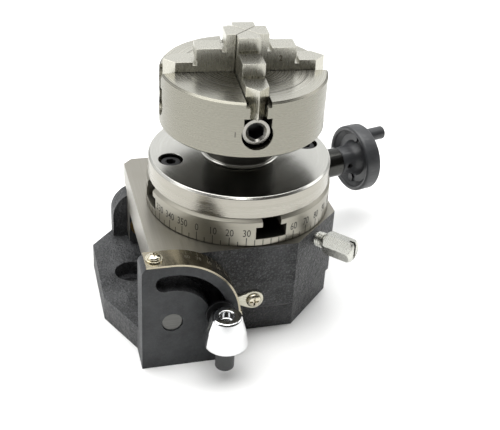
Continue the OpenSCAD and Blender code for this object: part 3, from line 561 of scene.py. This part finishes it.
# %% Turn the hub
hub_low, hub_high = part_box("clamp_hub")
belly = (hub_high.x - hub_low.x) / 2
hub_axis = Vector(((hub_low.x + hub_high.x) / 2, hub_low.y + belly, 0))
foot_z, top_z = hub_low.z, hub_high.z
HUB_FOOT_R, HUB_TOP_R, HUB_FLAT_R = 4.9 * MM, 6.2 * MM, 5.7 * MM
HUB_HOLE_R, HUB_HOLE_DEEP = 3 * MM, 3.5 * MM
hub_profile = [
    (0, foot_z), (HUB_FOOT_R, foot_z), (belly, foot_z + 4.2 * MM), (belly, foot_z + 4.8 * MM),
    (belly - 1 * MM, foot_z + 11 * MM), (HUB_TOP_R, top_z - 0.5 * MM), (HUB_FLAT_R, top_z),
    (HUB_HOLE_R, top_z), (HUB_HOLE_R, top_z - HUB_HOLE_DEEP), (0, top_z - HUB_HOLE_DEEP)]
hub = turned("turned_hub", rounded(hub_profile, 0.5 * MM), hub_axis, chrome_plate)
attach(hub, "clamp_lever")
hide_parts("clamp_hub")
print("hub:", len(hub.data.polygons), "faces, belly", round(belly / MM, 2), "mm")

# %% [markdown]
# ## Painted shade and light on the chuck and the plate
#
# Inside the hexagon sockets, on the rear of the chuck and on the neck under it, the dark tint is
# painted shade, and the rear and the neck are also rougher. The faced front of the chuck is brighter
# than its side as painted light, and the rim of the plate is duller than its face. All these faces
# are picked by where they lie.

# %% Faces with a tint of their own: painted shade, painted light and the plate's rim
chuck_low, chuck_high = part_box("chuck_body")
SOCKET_R, SOCKET_EDGE, SOCKET_DEEP = 3.35 * MM, 0.7 * MM, 7 * MM
sockets = 0
for k in range(1, 5):
    turn = joints[f"jaw_screw_{k}_turn"]
    place, axis = Vector(turn["pos_m"]), Vector(turn["axis"])
    mouth = max((v.co - place).dot(axis) for v in made[f"jaw_screw_{k}"].data.vertices)

    def in_socket(c, n, place=place, axis=axis, mouth=mouth):
        along = (c - place).dot(axis)
        inside = mouth - SOCKET_DEEP < along < mouth - SOCKET_EDGE
        return inside and (c - place - axis * along).length < SOCKET_R

    # The black inside each socket is painted shade.
    sockets += paint_faces(made[f"jaw_screw_{k}"], black_oxide, in_socket)
# The chuck's rear face, which looks down into shade, is darkened as painted shade.
rear = paint_faces(chuck, shaded_rear_steel, lambda c, n: n.z < -0.9 and c.z < chuck_low.z + NEAR)
# The brighter tint of the chuck's faced front is painted light.
front = paint_faces(chuck, lit_face_steel, lambda c, n: n.z > 0.9 and c.z > chuck_high.z - NEAR)

plate_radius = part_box("back_plate")[1].x
shoulder_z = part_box("back_plate_screws")[1].z + 3.5 * MM
NECK_R, RIM_DEEP = 18 * MM, 2 * MM
# The neck between the plate and the chuck is darkened as painted shade.
neck = paint_faces(plate, shaded_rear_steel, lambda c, n: c.xy.length < NECK_R and c.z > shoulder_z)
rim = paint_faces(
    plate, rim_steel, lambda c, n: abs(n.z) < 0.3 and c.xy.length > plate_radius - RIM_DEEP)
print("socket faces:", sockets, "rear:", rear, "front:", front, "neck:", neck, "rim:", rim)

# %% [markdown]
# ## Marks that are cut into round parts
#
# Graduations and figures are engraved and filled with black. They could be an image wrapped on
# the part, but an image has a resolution, and marks made as thin solids stay crisp at any
# distance and leave the workshop with the mesh. Each mark is drawn flat, then bent round an axis:
# along becomes angle, up stays up, and thickness becomes radius.

# %% Draw marks flat
MARK_THICK, MARK_PROUD = 0.05 * MM, 0.02 * MM
DIGIT_SHARE = 0.7
FIGURE_WEIGHT = 0.03 * MM


def bar(form, x0, x1, y0, y1):
    """A thin flat bar in a mesh under construction, its face at z = 0."""
    made = bmesh.ops.create_cube(form, size=1.0)["verts"]
    for vert in made:
        vert.co.x = x0 if vert.co.x < 0 else x1
        vert.co.y = y0 if vert.co.y < 0 else y1
        vert.co.z = -MARK_THICK if vert.co.z < 0 else 0.0


def figures(form, text, x, y, height, squeeze):
    """Figures of that height, centred on x, standing on y and squeezed in width, as a thin solid."""
    curve = bpy.data.curves.new("figures", "FONT")
    curve.body = text
    curve.align_x = "CENTER"
    curve.extrude = MARK_THICK / 2
    curve.resolution_u = 3
    curve.offset = FIGURE_WEIGHT
    curve.size = height / DIGIT_SHARE
    holder = bpy.data.objects.new("figures", curve)
    bpy.context.scene.collection.objects.link(holder)
    bpy.context.view_layer.update()
    drawn = holder.evaluated_get(bpy.context.evaluated_depsgraph_get())
    mesh = bpy.data.meshes.new_from_object(drawn)
    for vert in mesh.vertices:
        vert.co = (x + vert.co.x * squeeze, y + vert.co.y, vert.co.z - MARK_THICK / 2)
    form.from_mesh(mesh)
    bpy.data.objects.remove(holder)
    bpy.data.meshes.remove(mesh)


print("marks are", MARK_THICK / MM, "mm thick")

# %% [markdown]
# ## From a flat drawing to a piece
#
# A drawing is finished by one function: it moves every point to its place on the part, turns the
# outer sides out, and lets the piece ride on the body that carries the part.

# %% Finish a drawing
def marks_piece(name, form, place, material, body_name):
    """Finish the marks: move every point with place(x, y, z), give material, ride on the body."""
    bmesh.ops.remove_doubles(form, verts=form.verts, dist=0.0005 * MM)
    for vert in form.verts:
        vert.co = place(*vert.co)
    bmesh.ops.recalc_face_normals(form, faces=form.faces)
    mesh = bpy.data.meshes.new(name)
    form.to_mesh(mesh)
    form.free()
    piece = bpy.data.objects.new(name, mesh)
    bpy.context.scene.collection.objects.link(piece)
    paint(piece, material)
    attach(piece, body_name)
    return piece


print("drawings can be finished")

# %% [markdown]
# ## The table's scale
#
# The rim is divided every five degrees, with a longer line and a figure every ten. The figures
# grow counter-clockwise. Where a T-slot opens through the rim there is no room for figures, and
# the lines there only reach up to the slot's floor.

# %% Engrave the table
table_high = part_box("rotary_table")[1]
table_radius = table_high.x
rim_z = body_high.z + 0.35 * MM
zero_at = -128.6
slot_marks = (45, 135, 225, 315)
SLOT_LINES_DOWN = 9.8 * MM
long_line, short_line, half_line = 3.9 * MM, 2.1 * MM, 0.2 * MM
slot_line = table_high.z - SLOT_LINES_DOWN - rim_z
figure_height, figure_foot, figure_squeeze = 3.3 * MM, 4.5 * MM, 0.74


def round_table(x, y, z):
    """Wrap a flat drawing round the table's rim: x is arc length from the zero line."""
    angle = math.radians(zero_at) + x / table_radius
    radius = table_radius + MARK_PROUD + z
    return Vector((radius * math.cos(angle), radius * math.sin(angle), rim_z + y))


form = bmesh.new()
for degree in range(0, 360, 5):
    x = math.radians(degree) * table_radius
    from_slot = min(abs(degree - s) for s in slot_marks)
    length = long_line if degree % 10 == 0 else short_line
    if from_slot <= 10:
        length = slot_line
    bar(form, x - half_line, x + half_line, 0, length)
    if degree % 10 == 0 and from_slot > 12:
        figures(form, str(degree), x, figure_foot, figure_height, figure_squeeze)
scale = marks_piece("table_graduations", form, round_table, cut_mark, "table")
print("table scale:", len(scale.data.polygons), "faces")

# %% [markdown]
# ## The tilt scale
#
# The strip on the cheek is bent round the pivot, so its marks are bent round the same axis. Zero
# lies where the pointer's tip is when the table is level. These marks are worn and faint.

# %% Engrave the tilt strip
pivot = Vector(joints["tilt"]["pos_m"])
strip_low, strip_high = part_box("tilt_scale")
strip_radius = strip_high.z - pivot.z
tip_low, tip_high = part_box("tilt_pointer")
strip_zero = math.atan2((tip_low.z + tip_high.z) / 2 - pivot.z, tip_low.x - pivot.x)


def round_pivot(x, y, z):
    """Wrap a flat drawing over the strip: x is arc length back from zero, and y runs rearward."""
    angle = strip_zero - x / strip_radius
    radius = strip_radius + MARK_PROUD + z
    across, height = radius * math.cos(angle), radius * math.sin(angle)
    return Vector((pivot.x + across, strip_low.y + y, pivot.z + height))


strip_depth = strip_high.y - strip_low.y
strip_long, strip_short, strip_half, strip_edge = 3.0 * MM, 1.8 * MM, 0.12 * MM, 0.1 * MM
strip_figure, strip_figure_down = 2.1 * MM, 5.8 * MM
form = bmesh.new()
for degree in range(0, 90, 5):
    x = -math.radians(degree) * strip_radius
    length = strip_long if degree % 10 == 0 else strip_short
    bar(form, x - strip_half, x + strip_half, strip_depth - length, strip_depth - strip_edge)
    if degree % 10 == 0:
        figures(form, str(degree), x, strip_depth - strip_figure_down, strip_figure, 0.8)
tilt_marks = marks_piece("tilt_graduations", form, round_pivot, faint_mark, "base")
print("tilt scale:", len(tilt_marks.data.polygons), "faces")

# %% [markdown]
# ## Circles on the chuck's face
#
# Two circles are scribed on the face, which help to set the jaws. They stop at the jaws' guides.
# Each arc is a chain of short bars that follow the circle.

# %% Scribe the chuck's face
circle_radii = (26.2 * MM, 20.0 * MM)
circle_half = 0.14 * MM
guide_half = 5.4 * MM
arc_steps = 24
first_jaw = math.atan2(joints["jaw_1_slide"]["axis"][1], joints["jaw_1_slide"]["axis"][0])


def on_chuck_face(x, y, z):
    """Lay a flat drawing on the chuck's face."""
    return Vector((x, y, chuck_high.z + MARK_PROUD + z))


form = bmesh.new()
for radius in circle_radii:
    stop = math.asin(guide_half / radius)
    for quarter in range(4):
        start = first_jaw + quarter * math.pi / 2 + stop
        turn = (math.pi / 2 - 2 * stop) / arc_steps
        loops = []
        for i in range(arc_steps + 1):
            a = start + i * turn
            loops.append([form.verts.new(((radius + s) * math.cos(a), (radius + s) * math.sin(a), z))
                          for s, z in ((-circle_half, 0), (circle_half, 0), (circle_half, -MARK_THICK),
                                       (-circle_half, -MARK_THICK))])
        for one, two in zip(loops, loops[1:]):
            for k in range(4):
                form.faces.new((one[k], one[(k + 1) % 4], two[(k + 1) % 4], two[k]))
        form.faces.new(loops[0])
        form.faces.new(loops[-1])
circles = marks_piece("scribed_circles", form, on_chuck_face, cut_mark, "table")
print("circles:", len(circles.data.polygons), "faces")

# %% [markdown]
# ## Numbers that match the jaws to their guides
#
# Independent jaws are fitted one by one, so a small number is stamped beside each guide and on the
# flank of each jaw. A punch leaves a shallow dark dent with no fill.

# %% Stamp the numbers
chuck_radius = (chuck_high.x - chuck_low.x) / 2
stamp_z = chuck_high.z - 11.4 * MM
stamp_aside, stamp_down, stamp_height = 8.8 * MM, 3.2 * MM, 2.2 * MM
jaw_half = 4.6 * MM
flank_out, flank_z, flank_height = 14.0 * MM, chuck_high.z + 4.2 * MM, 2.4 * MM
stamp_squeeze = 0.9
for k in range(1, 5):
    axis = joints[f"jaw_{k}_slide"]["axis"]
    heading = math.atan2(axis[1], axis[0])

    def beside_guide(x, y, z, heading=heading):
        angle = heading + x / chuck_radius
        radius = chuck_radius + MARK_PROUD + z
        return Vector((radius * math.cos(angle), radius * math.sin(angle), stamp_z + y))

    form = bmesh.new()
    figures(form, str(k), -stamp_aside, -stamp_down, stamp_height, stamp_squeeze)
    marks_piece(f"guide_number_{k}", form, beside_guide, cut_mark, "table")

    def on_flank(x, y, z, heading=heading):
        out = Vector((math.cos(heading), math.sin(heading), 0))
        flank = out.cross(Vector((0, 0, 1)))
        return out * x + flank * (jaw_half + MARK_PROUD + z) + Vector((0, 0, flank_z + y))

    form = bmesh.new()
    figures(form, str(k), flank_out, 0, flank_height, stamp_squeeze)
    marks_piece(f"jaw_number_{k}", form, on_flank, faint_mark, f"jaw_{k}")
print("stamped 8 numbers")

# %% [markdown]
# ## Thread of the lock screw
#
# A short length of thread shows between the body and the screw's head. A thread is one ridge that
# climbs as it turns. It is built ring by ring: each ring is a circle whose radius swings between
# root and crest, and the swing moves on by one pitch each turn.

# %% Cut the thread
lock_axis = Vector(joints["table_lock"]["axis"]).normalized()
lock_place = Vector(joints["table_lock"]["pos_m"])
thread_root, thread_crest, thread_pitch = 2.92 * MM, 3.4 * MM, 1.0 * MM
thread_from, thread_to = 41.0 * MM, 46.0 * MM
around, rings_per_pitch = 40, 10

side = lock_axis.cross(Vector((0, 0, 1))).normalized()
lift = side.cross(lock_axis)
count = round((thread_to - thread_from) / thread_pitch * rings_per_pitch)
form = bmesh.new()
rings = []
for i in range(count + 1):
    along = thread_from + (thread_to - thread_from) * i / count
    fade = min(1.0, min(i, count - i) / rings_per_pitch)
    ring = []
    for j in range(around):
        turn = j / around
        phase = (along / thread_pitch - turn) % 1.0
        height = (1 - abs(2 * phase - 1)) * fade
        radius = thread_root + (thread_crest - thread_root) * height
        angle = 2 * math.pi * turn
        ring.append(form.verts.new(lock_place + lock_axis * along
                                   + radius * (math.cos(angle) * side + math.sin(angle) * lift)))
    rings.append(ring)
for one, two in zip(rings, rings[1:]):
    for j in range(around):
        form.faces.new((one[j], one[(j + 1) % around], two[(j + 1) % around], two[j]))
form.faces.new(rings[0])
form.faces.new(rings[-1])
thread = marks_piece("lock_thread", form, lambda x, y, z: Vector((x, y, z)), zinc_plate, "lock")
print("thread:", len(thread.data.polygons), "faces")

# %% [markdown]
# ## Floor and light
#
# The tool stands on plain white card that runs past the edge of the view. Polished metal shows
# its surroundings, so the light is built for the reflections: one large soft panel overhead and to
# the left, weak ones from both sides, and a room whose rear wall is bright while the side where
# the viewer stands is dim.

# %% Set the stage
floor_mesh = bpy.data.meshes.new("floor")
form = bmesh.new()
bmesh.ops.create_grid(form, x_segments=2, y_segments=2, size=3.0)
form.to_mesh(floor_mesh)
form.free()
floor = bpy.data.objects.new("floor", floor_mesh)
floor.location.z = cad_low.z - 0.05 * MM
bpy.context.scene.collection.objects.link(floor)
white_card, card_tree, card_main = finish("white card", "f4f4f3", 0.75)
FIBRE_MM = 1.2
card_point = add(card_tree, "TexCoord").outputs["Object"]
fibres = add(card_tree, "TexNoise", {"Vector": card_point, "Scale": 1 / (FIBRE_MM * MM), "Detail": 2.0,
                                     "Roughness": 0.5}).outputs["Fac"]
soft = add(card_tree, "MapRange", (fibres, 0.3, 0.7, 0.7, 0.8)).outputs["Result"]
join(card_tree, card_main, {"Roughness": soft})
paint(floor, white_card)
print("floor at", round(floor.location.z / MM, 2), "mm")

# %% [markdown]
# ## Three soft panels
#
# Each panel is a square of light that faces the middle of the tool. A large panel gives soft
# shadows and wide reflections, so the one overhead is the largest and by far the strongest.

# %% Hang the panels
def panel(name, place, target, size, power):
    """A square soft light that faces a point. Place and size are in metres, power in watts."""
    light = bpy.data.lights.new(name, "AREA")
    light.size = size
    light.energy = power
    holder = bpy.data.objects.new(name, light)
    holder.location = place
    holder.rotation_euler = (Vector(target) - Vector(place)).to_track_quat("-Z", "Y").to_euler()
    bpy.context.scene.collection.objects.link(holder)


middle = (cad_low + cad_high) / 2
panel("overhead", (-0.1, 0.1, 1.1), middle, 1.3, 22.0)
panel("left", (-0.9, -0.1, 0.5), middle, 0.6, 2.0)
panel("right", (0.9, 0.1, 0.6), middle, 0.5, 1.5)
print("three panels face", [round(v / MM) for v in middle])

# %% [markdown]
# ## The room
#
# The room is what the chrome and the turned faces mirror. It grows bright with two shares that are
# multiplied: how far a direction points rearward, and how far it points up.

# %% Light the room
world = bpy.data.worlds.new("room")
world.use_nodes = True
bpy.context.scene.world = world
room = world.node_tree
background = room.nodes["Background"]
direction = add(room, "SeparateXYZ", {"Vector": add(room, "TexCoord").outputs["Generated"]}).outputs
rearward = add(room, "MapRange", (direction["Y"], -0.35, 0.6, 0, 1)).outputs["Result"]
raised = add(room, "MapRange", (direction["Z"], 0.0, 0.35, 0.35, 1)).outputs["Result"]
wall = add(room, "Math", (rearward, raised), operation="MULTIPLY").outputs["Value"]
mix = {"Factor": wall, COLOUR_1: colour("4a4947"), COLOUR_2: colour("fafbfc")}
seen = add(room, "Mix", mix, data_type="RGBA").outputs[MIXED]
join(room, background, {"Color": seen, "Strength": 1.25})
bpy.context.scene.view_settings.view_transform = "Standard"
print("room light:", background.inputs["Strength"].default_value)
